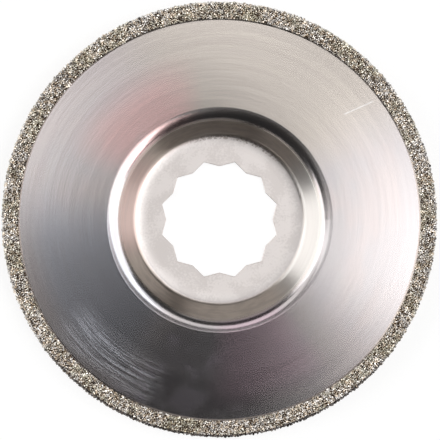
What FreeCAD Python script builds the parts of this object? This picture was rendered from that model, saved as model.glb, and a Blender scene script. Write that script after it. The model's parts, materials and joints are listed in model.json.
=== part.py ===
"""Diamond saw blade for an oscillating power tool.

A disc of sheet steel, pressed so that its hub lies behind the cutting plane, with
a twelve-point drive hole punched in the hub and a coat of diamond grit round its
rim. Sizes are in millimetres. The origin is the centre of the hub's back face,
which the blade lies on. +Z is the blade's axis, towards the clamping screw's side.
"""
import FreeCAD
import Part
import math
import os

# Coated rim
BLADE_DIAMETER = 80.0       # over the diamond coat
EDGE_COAT = 0.5             # coat on the edge of the steel disc
FACE_COAT = 0.5             # coat on each face of the steel disc
COAT_WIDTH = 3.4            # band covered on each face, in from the blade's outer edge
COAT_ROUND = 0.35           # rounding of the coat's outer corners
COAT_RUN_OUT = 0.2          # rounding where the coat ends on the steel

# Steel sheet and its crank
SHEET = 1.2                 # thickness of the steel
HUB_FACE_DIAMETER = 26.4    # flat faces of the hub
HUB_OFFSET = 3.2            # hub's front face behind the disc's front face
HUB_EASE = 13.4             # front radius of the gentle rise round the hub's flat
HUB_EASE_ANGLE = 9.0        # slope that the rise has reached at the bend, in degrees
CRANK_ANGLE = 40.0          # slope of the wall between hub and disc, in degrees
HUB_BEND = 1.75             # inside radius of the bend at the hub, on the front
SHOULDER_BEND = 2.7         # inside radius of the bend at the disc, on the back

# Drive hole: two like polygons, one turned against the other, leave the points
HOLE_POINTS = 12            # six to each polygon
ACROSS_FLATS = 19.0         # of each polygon
POINT_ROUND = 0.3           # radius in the points
NOTCH_ROUND = 0.2           # radius on the corners between the points
EDGE_BREAK = 0.12           # bevel round the hole on both faces

TOLERANCE = 1e-6
AXIS = FreeCAD.Vector(0, 0, 1)
CENTRE = FreeCAD.Vector(0, 0, 0)

blade_radius = BLADE_DIAMETER / 2
steel_radius = blade_radius - EDGE_COAT
coat_inner_radius = blade_radius - COAT_WIDTH
hub_face_radius = HUB_FACE_DIAMETER / 2
disc_back = HUB_OFFSET
disc_front = disc_back + SHEET


def point(radius, height):
    """A point of a section, in the XZ plane."""
    return FreeCAD.Vector(radius, 0, height)


def line(start, end):
    return Part.LineSegment(start, end).toShape()


def arc(centre, radius, start, end):
    """An arc of a section about centre, between two angles in degrees above +X."""
    def at(angle):
        turn = math.radians(angle)
        return centre + point(radius * math.cos(turn), radius * math.sin(turn))

    return Part.Arc(at(start), at((start + end) / 2), at(end)).toShape()


def ends(edge):
    return edge.Vertexes[0].Point, edge.Vertexes[-1].Point


def pressed_sheet():
    """The steel disc with its hub pressed back, before the hole is punched.

    Outside its flat the hub rises gently, then bends up into the wall, which the
    shoulder turns into the disc. Front and back share the centre of each curve, so
    the sheet keeps its thickness, and each stretch is tangent to the next.
    """
    rise = math.radians(HUB_EASE_ANGLE)
    slope = math.radians(CRANK_ANGLE)
    shoulder_front = SHOULDER_BEND + SHEET
    ease_centre = point(hub_face_radius, SHEET + HUB_EASE)
    inward = point(-math.sin(rise), math.cos(rise))
    hub_centre = ease_centre - inward * (HUB_EASE - HUB_BEND)
    wall_foot = hub_centre + point(math.sin(slope), -math.cos(slope)) * HUB_BEND
    wall_drop = disc_front - shoulder_front * (1 - math.cos(slope)) - wall_foot.z
    shoulder_radius = wall_foot.x + wall_drop / math.tan(slope) + shoulder_front * math.sin(slope)
    shoulder_centre = point(shoulder_radius, disc_back - SHOULDER_BEND)

    front_of_ease = arc(ease_centre, HUB_EASE, -90, HUB_EASE_ANGLE - 90)
    back_of_ease = arc(ease_centre, HUB_EASE + SHEET, -90, HUB_EASE_ANGLE - 90)
    front_of_hub = arc(hub_centre, HUB_BEND, HUB_EASE_ANGLE - 90, CRANK_ANGLE - 90)
    back_of_hub = arc(hub_centre, HUB_BEND + SHEET, HUB_EASE_ANGLE - 90, CRANK_ANGLE - 90)
    front_of_shoulder = arc(shoulder_centre, shoulder_front, CRANK_ANGLE + 90, 90)
    back_of_shoulder = arc(shoulder_centre, SHOULDER_BEND, CRANK_ANGLE + 90, 90)

    section = [
        line(point(0, 0), point(0, SHEET)),
        line(point(0, SHEET), ends(front_of_ease)[0]),
        front_of_ease,
        front_of_hub,
        line(ends(front_of_hub)[1], ends(front_of_shoulder)[0]),
        front_of_shoulder,
        line(ends(front_of_shoulder)[1], point(steel_radius, disc_front)),
        line(point(steel_radius, disc_front), point(steel_radius, disc_back)),
        line(point(steel_radius, disc_back), ends(back_of_shoulder)[1]),
        back_of_shoulder,
        line(ends(back_of_shoulder)[0], ends(back_of_hub)[1]),
        back_of_hub,
        back_of_ease,
        line(ends(back_of_ease)[0], point(0, 0)),
    ]
    face = Part.Face(Part.Wire(Part.__sortEdges__(section)))
    return face.revolve(CENTRE, AXIS, 360)


def rounded_outline(corners, height):
    """A closed flat wire through the corners, each with its own rounding."""
    edges = []
    starts = []
    stops = []
    for index, (corner, rounding) in enumerate(corners):
        before = corners[index - 1][0] - corner
        after = corners[(index + 1) % len(corners)][0] - corner
        half_angle = before.getAngle(after) / 2
        before.normalize()
        after.normalize()
        inward = before + after
        inward.normalize()
        setback = rounding / math.tan(half_angle)
        depth = rounding / math.sin(half_angle) - rounding
        start = corner + before * setback
        stop = corner + after * setback
        edges.append(Part.Arc(start, corner + inward * depth, stop).toShape())
        starts.append(start)
        stops.append(stop)
    for index, stop in enumerate(stops):
        edges.append(line(stop, starts[(index + 1) % len(starts)]))
    outline = Part.Wire(Part.__sortEdges__(edges))
    outline.translate(AXIS * height)
    return outline


def hole_outline(widened, height):
    """The twelve-point outline, with each flat moved outwards by widened."""
    flat_radius = ACROSS_FLATS / 2 + widened
    step = math.pi / HOLE_POINTS
    point_radius = flat_radius / math.cos(2 * step)
    notch_radius = flat_radius / math.cos(step)
    corners = []
    for index in range(HOLE_POINTS):
        notch_turn = 2 * index * step
        point_turn = notch_turn + step
        notch = FreeCAD.Vector(math.cos(notch_turn), math.sin(notch_turn), 0) * notch_radius
        tip = FreeCAD.Vector(math.cos(point_turn), math.sin(point_turn), 0) * point_radius
        corners += [(notch, NOTCH_ROUND), (tip, POINT_ROUND)]
    return rounded_outline(corners, height)


def drive_hole():
    """The cutter for the hole through the hub, which bevels both of its edges."""
    punch = Part.Face(hole_outline(0, -SHEET)).extrude(AXIS * 3 * SHEET)
    bevels = []
    for face, outwards in ((SHEET, 1), (0, -1)):
        narrow = hole_outline(0, face - outwards * EDGE_BREAK)
        wide = hole_outline(EDGE_BREAK, face)
        bevels.append(Part.makeLoft([narrow, wide], True, True))
    return punch.fuse(bevels)


def blade_body():
    """The pressed and punched steel."""
    return pressed_sheet().cut(drive_hole())


def rounded_rims(ring, radius, rounding):
    """The ring with its two circular edges of that radius rounded."""
    rims = []
    for edge in ring.Edges:
        if isinstance(edge.Curve, Part.Circle) and abs(edge.Curve.Radius - radius) < TOLERANCE:
            rims.append(edge)
    return ring.makeFillet(rounding, rims)


def diamond_rim():
    """The grit coat: a channel round the disc's edge and the outer band of its faces."""
    base = point(0, disc_back - FACE_COAT)
    thickness = SHEET + 2 * FACE_COAT
    whole = Part.makeCylinder(blade_radius, thickness, base, AXIS)
    middle = Part.makeCylinder(coat_inner_radius, thickness, base, AXIS)
    coat = whole.cut(middle)
    coat = rounded_rims(coat, blade_radius, COAT_ROUND)
    coat = rounded_rims(coat, coat_inner_radius, COAT_RUN_OUT)
    disc = Part.makeCylinder(steel_radius, SHEET, point(0, disc_back), AXIS)
    return coat.cut(disc)


def main():
    os.makedirs("parts", exist_ok=True)
    for name, make in (("blade_body", blade_body), ("diamond_rim", diamond_rim)):
        make().exportStep(f"parts/{name}.step")


main()
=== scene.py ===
import bpy
import json
import math
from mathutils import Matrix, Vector

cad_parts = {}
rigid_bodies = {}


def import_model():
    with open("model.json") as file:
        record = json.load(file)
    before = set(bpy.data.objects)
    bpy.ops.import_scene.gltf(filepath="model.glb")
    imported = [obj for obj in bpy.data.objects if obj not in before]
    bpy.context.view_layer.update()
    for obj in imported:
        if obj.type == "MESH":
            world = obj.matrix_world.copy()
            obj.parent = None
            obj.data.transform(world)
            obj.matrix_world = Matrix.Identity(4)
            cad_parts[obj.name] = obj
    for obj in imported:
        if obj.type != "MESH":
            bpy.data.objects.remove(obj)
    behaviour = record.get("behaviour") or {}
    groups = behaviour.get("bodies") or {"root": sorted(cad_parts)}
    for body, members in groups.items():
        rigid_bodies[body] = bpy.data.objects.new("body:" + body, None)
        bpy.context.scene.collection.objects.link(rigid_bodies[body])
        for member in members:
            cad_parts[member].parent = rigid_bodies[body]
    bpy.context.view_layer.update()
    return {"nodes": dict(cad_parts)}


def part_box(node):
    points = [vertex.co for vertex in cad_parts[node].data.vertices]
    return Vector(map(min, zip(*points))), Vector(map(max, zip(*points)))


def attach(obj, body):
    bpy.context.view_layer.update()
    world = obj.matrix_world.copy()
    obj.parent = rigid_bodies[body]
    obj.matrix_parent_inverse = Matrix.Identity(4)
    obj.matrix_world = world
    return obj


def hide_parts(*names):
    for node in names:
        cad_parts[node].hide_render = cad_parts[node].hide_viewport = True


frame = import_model()

# The photograph's view: straight down on the blade from about half a metre, with the
# camera a little to the upper left of the blade's axis, so that the hub, which lies
# behind the cutting plane, sits a little off the rim's centre.
disc_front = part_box("blade_body")[1][2]
camera_height = disc_front + 0.45
camera_left = 0.0137
camera_up = 0.0116
frame_width = 0.08076
aim = Vector((0, 0, disc_front))

camera_data = bpy.data.cameras.new("camera")
camera = bpy.data.objects.new("camera", camera_data)
bpy.context.scene.collection.objects.link(camera)
camera.location = (-camera_left, camera_up, camera_height)
sight = aim - camera.location
camera.rotation_euler = (
    math.atan2(sight.y, -sight.z),
    -math.atan2(sight.x, math.hypot(sight.y, sight.z)),
    0,
)
camera_data.sensor_width = 36
camera_data.lens = camera_data.sensor_width * sight.length / frame_width
camera_data.clip_start = 0.01
camera_data.clip_end = 20
bpy.context.scene.camera = camera

# Blade body: one disc of sheet steel with the hub pressed back and the twelve-point
# hole punched through it. The disc is ground in circles round the axis, and the hub's
# flat is left duller by the press.
mm_per_metre = 1000


class Signal:
    """A node's output that sums can be written with: each sum adds a Math node."""

    def __init__(self, graph, socket):
        self.graph = graph
        self.socket = socket

    def maths(self, operation, first, second):
        return self.graph.node("ShaderNodeMath", {"operation": operation}, {0: first, 1: second})

    def __add__(self, other):
        return self.maths("ADD", self, other)

    def __radd__(self, other):
        return self.maths("ADD", other, self)

    def __sub__(self, other):
        return self.maths("SUBTRACT", self, other)

    def __rsub__(self, other):
        return self.maths("SUBTRACT", other, self)

    def __mul__(self, other):
        return self.maths("MULTIPLY", self, other)

    def __rmul__(self, other):
        return self.maths("MULTIPLY", other, self)

    def __truediv__(self, other):
        return self.maths("DIVIDE", self, other)

    def __pow__(self, other):
        return self.maths("POWER", self, other)


class Graph:
    """A node tree in the making. Its method node adds a node and gives its output."""

    def __init__(self, tree):
        self.tree = tree
        self.tree.nodes.clear()

    def node(self, kind, settings, sockets, output=0):
        made = self.tree.nodes.new(kind)
        for setting, value in settings.items():
            setattr(made, setting, value)
        for socket, value in sockets.items():
            if isinstance(value, Signal):
                self.tree.links.new(value.socket, made.inputs[socket])
            else:
                made.inputs[socket].default_value = value
        return Signal(self, made.outputs[output]) if made.outputs else None


class Finish(Graph):
    """A material in the making."""

    def __init__(self, name):
        self.material = bpy.data.materials.new(name)
        self.material.use_nodes = True
        super().__init__(self.material.node_tree)

    def locate(self):
        """Adds place in metres, and x, y and radius in millimetres from the blade's axis."""
        self.place = self.node("ShaderNodeTexCoord", {}, {}, "Object")
        self.x = self.node("ShaderNodeSeparateXYZ", {}, {0: self.place}, "X") * mm_per_metre
        self.y = self.node("ShaderNodeSeparateXYZ", {}, {0: self.place}, "Y") * mm_per_metre
        self.radius = (self.x * self.x + self.y * self.y) ** 0.5

    def mix(self, factor, first, second):
        """The Mix node has its colours in sockets 6 and 7 and gives one from output 2."""
        return self.node("ShaderNodeMix", {"data_type": "RGBA"}, {0: factor, 6: first, 7: second}, 2)

    def step(self, value, start, end):
        """0 at start and before it, 1 from end on, smooth between, also where end is the lower."""
        settings = {"interpolation_type": "SMOOTHSTEP"}
        return self.node("ShaderNodeMapRange", settings, {0: value, 1: start, 2: end})

    def ramp(self, value, start, end):
        """Like step, but even between start and end."""
        return self.node("ShaderNodeMapRange", {}, {0: value, 1: start, 2: end})

    def noise(self, where, scale, detail, roughness=0.5):
        sockets = {"Vector": where, "Scale": scale, "Detail": detail, "Roughness": roughness}
        return self.node("ShaderNodeTexNoise", {}, sockets)

    def bump(self, height, strength, distance):
        sockets = {"Strength": strength, "Distance": distance, "Height": height}
        return self.node("ShaderNodeBump", {}, sockets)

    def shader(self, **sockets):
        """A Principled shader, its sockets named with _ for each space."""
        named = {socket.replace("_", " "): value for socket, value in sockets.items()}
        return self.node("ShaderNodeBsdfPrincipled", {}, named)

    def surface(self, shader):
        self.node("ShaderNodeOutputMaterial", {}, {"Surface": shader})

    def put_on(self, piece, slot):
        piece.data.materials.clear()
        piece.data.materials.append(self.material)


steel = Finish("brushed_sheet_steel")
steel.locate()
radius = steel.radius
away_x = steel.x / radius
away_y = steel.y / radius


def streaks(across, along, detail, softness):
    """Noise in streaks round the axis: across counts per mm of radius, along per radian of turn."""
    sockets = {0: radius * across, 1: away_x * along, 2: away_y * along}
    where = steel.node("ShaderNodeCombineXYZ", {}, sockets)
    return steel.noise(where, 1, detail, softness)


def sector(centre, half_width, softness):
    """1 within half_width of the azimuth centre, in degrees, and 0 outside it by softness."""
    turn = math.radians(centre)
    nearness = away_x * math.cos(turn) + away_y * math.sin(turn)
    outer = math.cos(math.radians(half_width + softness))
    return steel.step(nearness, outer, math.cos(math.radians(half_width)))


def band(start, end, softness):
    """1 between two radii and 0 outside them by softness, in millimetres."""
    rise = steel.step(radius, start - softness, start)
    return rise * (1 - steel.step(radius, end, end + softness))


def scratch(start, end, width, fading):
    """1 on a straight scratch between two points that fades at both ends, in millimetres."""
    run = (Vector(end) - Vector(start)).normalized()
    length = math.dist(start, end)
    from_x = steel.x - start[0]
    from_y = steel.y - start[1]
    along = from_x * run.x + from_y * run.y
    aside = from_x * run.y - from_y * run.x
    inside = steel.step(along, 0, fading) * (1 - steel.step(along, length - fading, length))
    return inside * (1 - steel.step(aside * aside, 0, width * width))


# Where the forms lie, from the axis outwards. The hub is dull and the rest bright.
hub = 1 - steel.ramp(radius, 13.6, 16.05)
hub_face = steel.ramp(radius, 15.7, 14.9)
wall = band(15.9, 18.2, 0.8)
disc = steel.step(radius, 19.7, 20.6)
crest = band(20.35, 20.5, 0.3)
foot = sector(260, 14, 14)

# What grinding and pressing leave on the steel, with a painted highlight on the scuffs and dark speckles in
# the hub's corner on the upper side
fine_lines = streaks(2.8, 1.8, 1, 0.6)
broad_lines = streaks(0.8, 1.3, 1, 0.6)
wall_lines = streaks(1.6, 5, 2, 0.6)
scuff_lines = streaks(4.5, 4, 2, 0.6)
cloud = streaks(0.16, 2.2, 3, 0.5)
blotch = steel.noise(steel.place, 260, 3)
grain = steel.noise(steel.place, 2600, 2)
# Scuffs: rougher streaks, and a painted highlight in their pale bluish colour
scuff_and_highlight = sector(231, 6, 17) * band(31, 34, 4) * steel.step(scuff_lines, 0.3, 0.7)
# Dark speckles darken the hub's corner on the upper side only
dark_corner_speckles = sector(78, 22, 20) * band(15.0, 15.5, 0.3) * steel.step(grain, 0.38, 0.62) * 0.8
score = scratch((22.6, 19.3), (28.4, 21.9), 0.2, 0.6) * 0.4

# The tints of the steel, each with where it lies, by azimuth and radius, and how strongly
warm_steel = (0.71, 0.645, 0.638, 1)
cool_steel = (0.68, 0.64, 0.645, 1)
blush = sector(128, 8, 24) * band(20.5, 24, 9) * steel.step(cloud + blotch * 0.5, 0.2, 0.8)
line_strength = 0.09 + 0.07 * sector(135, 40, 40)
tints = {
    "straw top": ((0.715, 0.65, 0.592, 1), sector(75, 28, 26) * band(21, 38, 2)),
    "blue left": ((0.63, 0.632, 0.69, 1), sector(206, 14, 26) * band(21, 31, 6)),
    # Painted shade: the disc is darkened towards the foot
    "painted shade at the foot": ((0.42, 0.4, 0.41, 1), sector(263, 6, 20) * band(21, 38, 2) * 0.8),
    "pale blotches": ((0.66, 0.6, 0.66, 1), foot * band(24, 38, 3) * steel.step(blotch, 0.48, 0.65) * 0.7),
    "dark blotches": ((0.3, 0.28, 0.29, 1), foot * band(31, 38, 3) * steel.step(blotch, 0.54, 0.36) * 0.55),
    "purple foot": ((0.76, 0.575, 0.65, 1), sector(287, 7, 16) * band(20, 30, 6) * 0.75),
    "pink blush": ((0.9, 0.6, 0.58, 1), blush * 0.9),
    "straw wall": ((0.69, 0.595, 0.52, 1), wall),
    "lines on the wall": ((0.47, 0.4, 0.35, 1), wall * steel.step(wall_lines, 0.4, 0.65) * 0.4),
    "pale right of the wall": ((0.67, 0.64, 0.61, 1), wall * sector(354, 28, 24)),
    "pink left of the wall": ((0.76, 0.58, 0.53, 1), wall * sector(170, 18, 20)),
    # Painted highlight: the scuffs are paled to a bluish white
    "painted highlight on the scuffs": ((0.86, 0.88, 0.97, 1), scuff_and_highlight * 0.5),
    "dark_corner_speckles": ((0.28, 0.22, 0.18, 1), dark_corner_speckles),
    # Painted shade: the crest is darkened at the foot and at the top, to dim a line of reflected light
    # along it
    "painted shade on the crest's foot": ((0.3, 0.27, 0.28, 1), crest * sector(255, 55, 45) * 0.7),
    "painted shade on the crest's top": ((0.5, 0.47, 0.47, 1), crest * sector(75, 30, 20) * 0.7),
    "ground lines": ((0.42, 0.37, 0.37, 1), steel.step(fine_lines, 0.35, 0.65) * line_strength),
    "scratch": ((1.0, 1.0, 1.0, 1), score),
}
steel_colour = steel.mix(steel.step(cloud, 0.35, 0.65), warm_steel, cool_steel)
for tint, where in tints.values():
    steel_colour = steel.mix(where, steel_colour, tint)

# The hub is pale, with faint darker blotches
mottle = steel.step(blotch + (grain - 0.5) * 0.6, 0.4, 0.62)
hub_colour = steel.mix(mottle, (0.83, 0.775, 0.75, 1), (0.92, 0.865, 0.84, 1))

# Ground and pressed steel share the fine lines. On the ground disc the gloss is drawn
# out across them.
line_relief = steel.bump(fine_lines, 0.06, 0.000004)
ground = steel.shader(
    Base_Color=steel_colour,
    Metallic=1.0,
    Roughness=0.15 + (broad_lines - 0.5) * 0.02 + scuff_and_highlight * 0.09 + crest * 0.05,
    Anisotropic=0.5,
    Anisotropic_Rotation=0.25,
    Normal=line_relief,
)
pressed = steel.shader(
    Base_Color=steel.mix(hub_face * (1 - dark_corner_speckles), steel_colour, hub_colour),
    Metallic=1.0,
    Roughness=0.18 + 0.1 * wall * (1 - hub) + 0.37 * hub,
    Normal=line_relief,
)
steel.surface(steel.node("ShaderNodeMixShader", {}, {0: disc, 1: pressed, 2: ground}))
steel.put_on(frame["nodes"]["blade_body"], "brushed_sheet_steel")

# Bond layer: the nickel that is plated on round the disc's edge and holds the diamond
# grains. It runs out thinly on the steel as a bare line, and outside that line the
# grains stand in it.
steel_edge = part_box("blade_body")[1][0]
sheet_thickness = 0.0012
bite = 0.00003
nickel_on_faces = 0.0003
nickel_on_edge = 0.00028
slope_start = 0.03667
slope_end = 0.0369
slope_height = 0.00016
bank_end = 0.03696
corner = 0.0003
mesh_step = 0.0002
nickel_middle = disc_front - sheet_thickness / 2
nickel_front = disc_front + nickel_on_faces
nickel_edge = steel_edge + nickel_on_edge
flat_end = nickel_edge - corner

# The front half as a string of rings, each with its radius and height: from the middle of
# the steel's edge in to the run-out line, just under the steel's face, and out again over
# it to the rim. The bite keeps it in touch with the steel.
rings = [
    (steel_edge - bite, nickel_middle),
    (steel_edge - bite, disc_front - bite),
    (slope_start - 2 * bite, disc_front - bite),
    (slope_start, disc_front + bite / 3),
    ((slope_start + slope_end) / 2, disc_front + slope_height * 0.55),
    (slope_end, disc_front + slope_height),
    (bank_end, nickel_front),
]
flat_width = flat_end - bank_end
flat_steps = round(flat_width / mesh_step)
for index in range(flat_steps):
    rings.append((bank_end + flat_width * (index + 1) / flat_steps, nickel_front))
for degrees in (22.5, 45, 67.5, 90):
    turn = math.radians(degrees)
    drop = corner * (1 - math.cos(turn))
    rings.append((nickel_edge - corner * (1 - math.sin(turn)), nickel_front - drop))
edge_height = nickel_front - corner - nickel_middle
edge_steps = round(edge_height / mesh_step)
for index in range(edge_steps):
    rings.append((nickel_edge, rings[-1][1] - edge_height / edge_steps))

bpy.ops.object.select_all(action="DESELECT")
bpy.ops.mesh.primitive_circle_add(
    vertices=round(2 * math.pi * nickel_edge / mesh_step),
    radius=rings[0][0],
    location=(0, 0, rings[0][1]),
)
bond_layer = bpy.context.object
bond_layer.name = "bond_layer"
bpy.ops.object.mode_set(mode="EDIT")
bpy.ops.mesh.select_all(action="SELECT")
for (old_radius, old_height), (new_radius, new_height) in zip(rings, rings[1:]):
    bpy.ops.mesh.extrude_edges_move(TRANSFORM_OT_translate={"value": (0, 0, new_height - old_height)})
    growth = new_radius / old_radius
    bpy.ops.transform.resize(value=(growth, growth, 1), center_override=(0, 0, 0))
bpy.ops.object.mode_set(mode="OBJECT")

mirror = bond_layer.modifiers.new("back half", "MIRROR")
mirror.use_axis = (False, False, True)
mirror.merge_threshold = 0.00001
bpy.ops.object.modifier_apply(modifier=mirror.name)
bpy.ops.object.transform_apply(location=True)
bpy.ops.object.mode_set(mode="EDIT")
bpy.ops.mesh.select_all(action="SELECT")
bpy.ops.mesh.normals_make_consistent(inside=False)
bpy.ops.object.mode_set(mode="OBJECT")


def put_in_order(piece):
    """Sorts the points and faces by place.

    Edit mode leaves them in an order that changes from run to run, and whatever is
    scattered or shaken by chance follows that order.
    """
    old = piece.data
    places = [tuple(round(part, 7) for part in vertex.co) for vertex in old.vertices]
    order = sorted(range(len(places)), key=places.__getitem__)
    rank = {index: position for position, index in enumerate(order)}
    faces = []
    for face in old.polygons:
        corners = [rank[index] for index in face.vertices]
        first = corners.index(min(corners))
        faces.append(corners[first:] + corners[:first])
    new = bpy.data.meshes.new(piece.name)
    new.from_pydata([old.vertices[index].co[:] for index in order], [], sorted(faces))
    piece.data = new
    bpy.data.meshes.remove(old)


put_in_order(bond_layer)
bpy.ops.object.shade_smooth()


def clear_of_sheet(height):
    return abs(height - nickel_middle) > sheet_thickness / 2


# Plating is lumpy wherever grains stand in it. The run-out line stays smooth.
plated = []
for vertex in bond_layer.data.vertices:
    reach = math.hypot(vertex.co.x, vertex.co.y)
    if reach > slope_end + bite and (reach > steel_edge or clear_of_sheet(vertex.co.z)):
        plated.append(vertex.index)
bond_layer.vertex_groups.new(name="plated").add(plated, 1, "REPLACE")
lumps = bpy.data.textures.new("nickel_lumps", "CLOUDS")
lumps.noise_scale = 0.0004
lumps.noise_depth = 1
swell = bond_layer.modifiers.new("lumps", "DISPLACE")
swell.texture = lumps
swell.vertex_group = "plated"
swell.strength = 0.00012
bpy.ops.object.modifier_apply(modifier=swell.name)
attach(bond_layer, "root")
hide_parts("diamond_rim")

nickel = Finish("nickel_bond")
nickel.locate()
flat_end_mm = flat_end * mm_per_metre
run_out = 1 - nickel.step(nickel.radius, slope_end * mm_per_metre, bank_end * mm_per_metre)
edge = nickel.step(nickel.radius, flat_end_mm - 0.03, flat_end_mm + 0.06)
stain = nickel.noise(nickel.place, 1500, 3)
# Between the grains the nickel is nearly black brown: painted shade where the grains shade it, mottled with
# stains
stained_and_shaded = nickel.mix(nickel.step(stain, 0.35, 0.65), (0.03, 0.017, 0.009, 1), (0.08, 0.05, 0.028, 1))
edge_shade = (0.13, 0.12, 0.13, 1)
run_out_shade = (0.55, 0.48, 0.44, 1)
nickel_colour = nickel.mix(run_out, nickel.mix(edge, stained_and_shaded, edge_shade), run_out_shade)
plating = nickel.shader(
    Base_Color=nickel_colour,
    Metallic=1.0,
    Roughness=0.5 - 0.28 * run_out - 0.15 * edge,
    Normal=nickel.bump(stain, 0.4, 0.00003),
)
nickel.surface(plating)
nickel.put_on(bond_layer, "diamond_grit_coat")

# Grit: thousands of blocky diamond crystals, bedded about half deep in the nickel.
# They are about 0.2 to 0.4 mm across on the faces and 0.3 to 0.6 mm on the edge. Three
# crystals are modelled and scattered, on the front, on the edge and on the back.
crystal_size = 0.00029
corner_cut = crystal_size * 0.5
weld = crystal_size * 0.02
unevenness = crystal_size * 0.12
density = 60e6
crystals = bpy.data.collections.new("crystals")
bpy.context.scene.collection.children.link(crystals)
cuts = (
    ("blocky", (1, 1, 1), 3),
    ("long", (1.25, 0.85, 0.9), 8),
    ("flat", (1.1, 1.1, 0.7), 5),
)
for name, stretch, seed in cuts:
    bpy.ops.object.select_all(action="DESELECT")
    bpy.ops.mesh.primitive_cube_add(size=crystal_size)
    crystal = bpy.context.object
    crystal.name = name
    bpy.ops.object.mode_set(mode="EDIT")
    bpy.ops.mesh.select_all(action="SELECT")
    bpy.ops.mesh.bevel(offset=corner_cut, affect="VERTICES")
    bpy.ops.mesh.remove_doubles(threshold=weld)
    bpy.ops.object.mode_set(mode="OBJECT")
    put_in_order(crystal)
    bpy.ops.object.mode_set(mode="EDIT")
    bpy.ops.mesh.select_all(action="SELECT")
    bpy.ops.transform.vertex_random(offset=unevenness, seed=seed)
    bpy.ops.transform.resize(value=stretch, center_override=(0, 0, 0))
    bpy.ops.mesh.normals_make_consistent(inside=False)
    bpy.ops.object.mode_set(mode="OBJECT")
    for home in crystal.users_collection:
        home.objects.unlink(crystal)
    crystals.objects.link(crystal)


def scatter(seed, spacing, smallest, largest):
    """The tree that replaces a surface by the crystals that stand in it.

    Points are dealt out by density, and those nearer to another than spacing are dropped.
    Random Value has a socket for each kind of number: 0 and 1 for vectors, 2 and 3 for
    plain numbers, 4 and 5 for whole ones, and it gives them from outputs 0, 1 and 2.
    """
    tree = bpy.data.node_groups.new("grains", "GeometryNodeTree")
    tree.interface.new_socket("Geometry", in_out="INPUT", socket_type="NodeSocketGeometry")
    tree.interface.new_socket("Geometry", in_out="OUTPUT", socket_type="NodeSocketGeometry")
    graph = Graph(tree)
    bed = graph.node("NodeGroupInput", {}, {})
    sockets = {"Mesh": bed, "Distance Min": spacing, "Density Max": density, "Seed": seed}
    poisson = {"distribute_method": "POISSON"}
    points = graph.node("GeometryNodeDistributePointsOnFaces", poisson, sockets)

    def chance(kind, limits, draw, output):
        sockets = {**limits, "Seed": seed + draw}
        return graph.node("FunctionNodeRandomValue", {"data_type": kind}, sockets, output)

    sockets = {"Geometry": points, "Name": "tint", "Value": chance("FLOAT", {}, 1, 1)}
    points = graph.node("GeometryNodeStoreNamedAttribute", {"data_type": "FLOAT"}, sockets)
    full_turn = (2 * math.pi, 2 * math.pi, 2 * math.pi)
    source = {"Collection": crystals, "Separate Children": True, "Reset Children": True}
    sockets = {
        "Points": points,
        "Instance": graph.node("GeometryNodeCollectionInfo", {}, source),
        "Pick Instance": True,
        "Instance Index": chance("INT", {4: 0, 5: len(cuts) - 1}, 4, 2),
        "Rotation": chance("FLOAT_VECTOR", {1: full_turn}, 2, 0),
        "Scale": chance("FLOAT", {2: smallest, 3: largest}, 3, 1),
    }
    grains = graph.node("GeometryNodeInstanceOnPoints", {}, sockets)
    grains = graph.node("GeometryNodeRealizeInstances", {}, {"Geometry": grains})
    graph.node("NodeGroupOutput", {}, {"Geometry": grains})
    return tree


grit = Finish("diamond_grains")
grit.locate()
tint = grit.node("ShaderNodeAttribute", {"attribute_name": "tint"}, {}, "Fac")
patch = grit.noise(grit.place, 230, 2)
facets = grit.noise(grit.place, 6000, 2)
white = (1.0, 0.95, 0.9, 1)
tan = (0.94, 0.78, 0.6, 1)
dark = (0.1, 0.07, 0.05, 1)
olive = (0.62, 0.56, 0.36, 1)
# Painted shadow colour for the outermost grains
edge_shadow_colour = (0.07, 0.055, 0.05, 1)
grain_colour = grit.mix(grit.step(tint, 0.2, 0.6), tan, white)
olive_patches = grit.step(patch + (tint - 0.5) * 0.3, 0.5, 0.65) * 0.6
grain_colour = grit.mix(olive_patches, grain_colour, olive)
grain_colour = grit.mix(grit.step(tint, 0.04, 0.1), dark, grain_colour)

# Painted shadow: the outermost grains are painted dark and dull, most of all on the lower side, where the
# edge lies in shadow
lower = grit.step(grit.y / grit.radius, -0.4, -0.8)
shaded_edge_grains = grit.step(grit.radius + 0.22 * lower, 39.6, 39.8) * (0.25 + 0.65 * lower)
diamond = grit.shader(
    Base_Color=grit.mix(shaded_edge_grains, grain_colour, edge_shadow_colour),
    Metallic=0.5 + 0.5 * shaded_edge_grains,
    IOR=2.4,
    Coat_Weight=1 - shaded_edge_grains,
    Coat_Roughness=0.05,
    Coat_IOR=2.2,
    Roughness=0.08 + 0.1 * tint,
    Normal=grit.bump(facets, 0.3, 0.00002),
)
grit.surface(diamond)

# A face of the nickel belongs to the front or the back where its normal rises or falls
# by more than facing, and to the edge by its distance from the axis.
grain_start = slope_end + crystal_size * 0.25
facing = 0.3


def on_a_side(face, reach):
    return clear_of_sheet(face.center.z) and grain_start < reach < flat_end + corner * 0.6


def front_faces(face, reach):
    return on_a_side(face, reach) and face.normal.z > facing


def back_faces(face, reach):
    return on_a_side(face, reach) and face.normal.z < -facing


def edge_faces(face, reach):
    return reach >= flat_end + corner * 0.7


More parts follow.
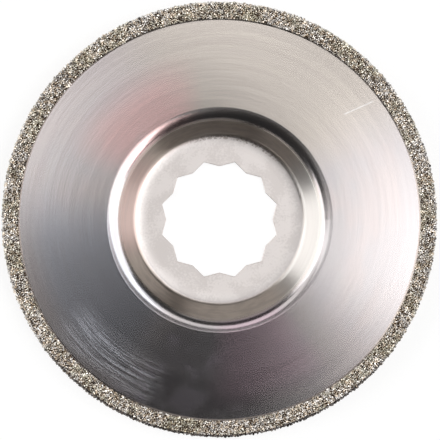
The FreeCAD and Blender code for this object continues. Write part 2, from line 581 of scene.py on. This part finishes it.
# Each bed's faces, seed, least spacing of the grains, and their least and greatest scale
beds = (
    ("grit_front", front_faces, 11, 0.000285, 0.75, 1.3),
    ("grit_edge", edge_faces, 31, 0.00062, 1, 2),
    ("grit_back", back_faces, 51, 0.000285, 0.75, 1.3),
)
for name, wanted, seed, spacing, smallest, largest in beds:
    bpy.ops.object.select_all(action="DESELECT")
    bond_layer.select_set(True)
    bpy.context.view_layer.objects.active = bond_layer
    bpy.ops.object.duplicate()
    bed = bpy.context.object
    bed.name = name
    bpy.ops.object.mode_set(mode="EDIT")
    bpy.ops.mesh.select_mode(type="FACE")
    bpy.ops.mesh.select_all(action="DESELECT")
    bpy.ops.object.mode_set(mode="OBJECT")
    for face in bed.data.polygons:
        face.select = not wanted(face, math.hypot(face.center.x, face.center.y))
    bpy.ops.object.mode_set(mode="EDIT")
    bpy.ops.mesh.delete(type="FACE")
    bpy.ops.object.mode_set(mode="OBJECT")
    grains = bed.modifiers.new("grains", "NODES")
    grains.node_group = scatter(seed, spacing, smallest, largest)
    bpy.ops.object.modifier_apply(modifier=grains.name)
    bpy.ops.object.shade_flat()
    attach(bed, "root")
    grit.put_on(bed, "diamond_grit_coat")
for crystal in list(crystals.objects):
    bpy.data.objects.remove(crystal)
bpy.data.collections.remove(crystals)

# The floor: a pale matt sheet that the blade lies on. To the camera and in the metal's
# gloss it glows up to white, and it keeps the blade's shadow.
bpy.ops.object.select_all(action="DESELECT")
bpy.ops.mesh.primitive_plane_add(size=4, location=(0, 0, 0))
floor = bpy.context.object
floor.name = "floor"
pale = Finish("pale_floor")
seen = 0
for kind in ("Is Camera Ray", "Is Glossy Ray", "Is Transmission Ray"):
    ray = pale.node("ShaderNodeLightPath", {}, {}, kind)
    seen = ray.maths("MAXIMUM", ray, seen)
matt = pale.node("ShaderNodeBsdfDiffuse", {}, {"Color": (0.8, 0.8, 0.8, 1)})
dim = pale.node("ShaderNodeBsdfDiffuse", {}, {"Color": (0.3, 0.3, 0.3, 1)})
glow = pale.node("ShaderNodeEmission", {}, {"Color": (1, 1, 1, 1), "Strength": 0.8})
white_sheet = pale.node("ShaderNodeAddShader", {}, {0: dim, 1: glow})
pale.surface(pale.node("ShaderNodeMixShader", {}, {0: seen, 1: matt, 2: white_sheet}))
floor.data.materials.append(pale.material)

# The light: a dark room with soft panels round the blade. The steel mirrors both, and
# the panels stand where they give it the photograph's light and dark parts.
room = (0.020, 0.020, 0.020, 1)
world = bpy.data.worlds.new("world")
bpy.context.scene.world = world
world.use_nodes = True
world.node_tree.nodes["Background"].inputs["Color"].default_value = room
world.node_tree.nodes["Background"].inputs["Strength"].default_value = 1
panel_distance = 1.5


def panel(name, azimuth, zenith, upwards, sideways, radiance):
    """A soft panel that faces the blade.

    Azimuth and zenith, the angle from straight above, are in degrees. Upwards and
    sideways are its extents towards the zenith and along the horizon, in metres.
    """
    turn = math.radians(azimuth)
    tilt = math.radians(zenith)
    light = bpy.data.lights.new(name, "AREA")
    light.shape = "RECTANGLE"
    light.size = upwards
    light.size_y = sideways
    light.energy = radiance * math.pi * upwards * sideways
    lamp = bpy.data.objects.new(name, light)
    bpy.context.scene.collection.objects.link(lamp)
    lamp.location = (
        panel_distance * math.cos(turn) * math.sin(tilt),
        panel_distance * math.sin(turn) * math.sin(tilt),
        panel_distance * math.cos(tilt),
    )
    lamp.rotation_euler = (0, tilt, turn)
    lamp.visible_camera = False


# Top and foot are the upper and lower sides of the photograph
panel("over_top_right", azimuth=46, zenith=5.2, upwards=0.09, sideways=0.20, radiance=1.68)
panel("over_top_left", azimuth=138, zenith=3.9, upwards=0.09, sideways=0.25, radiance=1.41)
panel("right_high", azimuth=-12, zenith=15.8, upwards=0.56, sideways=0.18, radiance=1.94)
panel("right_middle", azimuth=1, zenith=36.5, upwards=1.14, sideways=1.14, radiance=1.61)
panel("right_low", azimuth=-20, zenith=63.8, upwards=0.77, sideways=1.59, radiance=0.75)
panel("right_horizon", azimuth=15, zenith=81.5, upwards=0.09, sideways=2.40, radiance=1.98)
panel("top_high", azimuth=95, zenith=22.9, upwards=0.45, sideways=2.30, radiance=0.94)
panel("top_low", azimuth=100, zenith=69.5, upwards=0.96, sideways=1.92, radiance=0.34)
panel("left_high", azimuth=180, zenith=27.1, upwards=1.33, sideways=0.39, radiance=0.31)
panel("left_middle", azimuth=169, zenith=30.1, upwards=1.16, sideways=0.28, radiance=1.17)
panel("left_low", azimuth=171, zenith=61.6, upwards=1.33, sideways=1.59, radiance=1.60)
panel("foot_left_low", azimuth=221, zenith=66.9, upwards=0.09, sideways=1.36, radiance=1.50)
panel("foot_low", azimuth=280, zenith=67.2, upwards=0.29, sideways=1.10, radiance=0.26)
panel("foot_right_high", azimuth=-39, zenith=29.3, upwards=0.92, sideways=0.28, radiance=2.52)

bpy.context.scene.view_settings.view_transform = "Standard"
